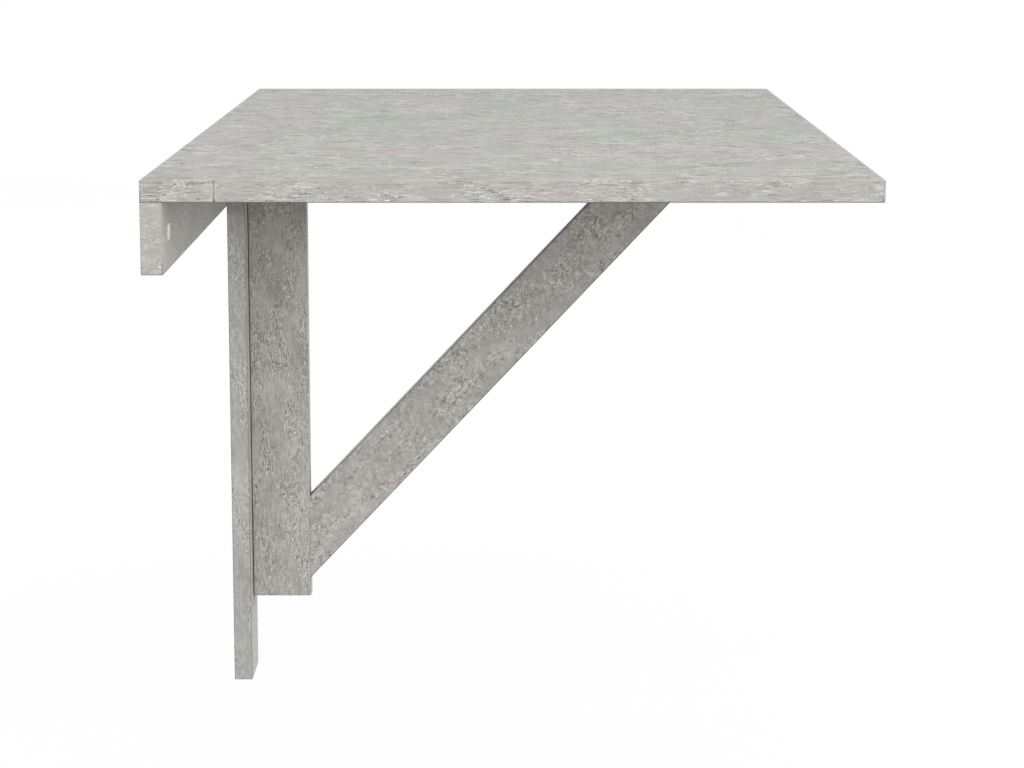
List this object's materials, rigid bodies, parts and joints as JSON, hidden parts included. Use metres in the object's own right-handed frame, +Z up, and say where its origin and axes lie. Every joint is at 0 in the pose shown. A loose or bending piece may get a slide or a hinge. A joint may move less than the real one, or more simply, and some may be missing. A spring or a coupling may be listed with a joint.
{
  "type": "wall mounted drop leaf table",
  "caption": "Wall table with a hinged leaf held level by a braced bracket that swings out from a post on the wall rail.",
  "frame": {"origin": "middle of the wall rail's back face, where it lies on the wall", "axes": "+X out from the wall, +Y along the wall, +Z up"},
  "size_m": [0.6, 1, 0.56],
  "materials": {
    "concrete_board": "matt melamine faced chipboard with a concrete decor",
    "edge_band": "matt plastic edge band with the same decor",
    "hinge_steel": "bright zinc plated pressed steel",
    "screw_steel": "zinc plated steel",
    "beech": "plain turned beech",
    "cast_zinc": "raw cast zinc",
    "cap_plastic": "pale moulded plastic",
    "pad_nylon": "natural moulded nylon"
  },
  "bodies": {
    "wall_frame": {"bracket_hinge_pin_lower": "hinge_steel", "bracket_hinge_pin_upper": "hinge_steel", "cam_bolts": "screw_steel", "cam_cover_caps": "cap_plastic", "cam_locks": "cast_zinc", "leaf_hinge_pin_far": "hinge_steel", "leaf_hinge_pin_middle": "hinge_steel", "leaf_hinge_pin_near": "hinge_steel", "post_dowels": "beech", "post_hinge_plate_lower": "hinge_steel", "post_hinge_plate_upper": "hinge_steel", "post_hinge_screws": "screw_steel", "post_screws": "screw_steel", "rail_dowels": "beech", "strip_hinge_plate_far": "hinge_steel", "strip_hinge_plate_middle": "hinge_steel", "strip_hinge_plate_near": "hinge_steel", "strip_hinge_screws": "screw_steel", "top_strip": "concrete_board", "wall_post": "concrete_board", "wall_rail": "concrete_board"},
    "leaf": {"leaf_front_band": "edge_band", "leaf_hinge_plate_far": "hinge_steel", "leaf_hinge_plate_middle": "hinge_steel", "leaf_hinge_plate_near": "hinge_steel", "leaf_hinge_screws": "screw_steel", "leaf_panel": "concrete_board"},
    "bracket": {"bracket_bar": "concrete_board", "bracket_brace": "concrete_board", "bracket_dowels": "beech", "bracket_hinge_plate_lower": "hinge_steel", "bracket_hinge_plate_upper": "hinge_steel", "bracket_hinge_screws": "screw_steel", "bracket_upright": "concrete_board", "support_pad": "pad_nylon"}
  },
  "joints": [
    {"name": "bracket_swing", "type": "hinge", "parent": "wall_frame", "child": "bracket", "pos_m": [0.03855, 0.01155, 0], "axis": [0, 0, 1], "range_deg": [0, 90]},
    {"name": "leaf_hinge", "type": "hinge", "parent": "wall_frame", "child": "leaf", "pos_m": [0.06, 0, 0.0295], "axis": [0, 1, 0], "range_deg": [-0.5, 0]}
  ]
}
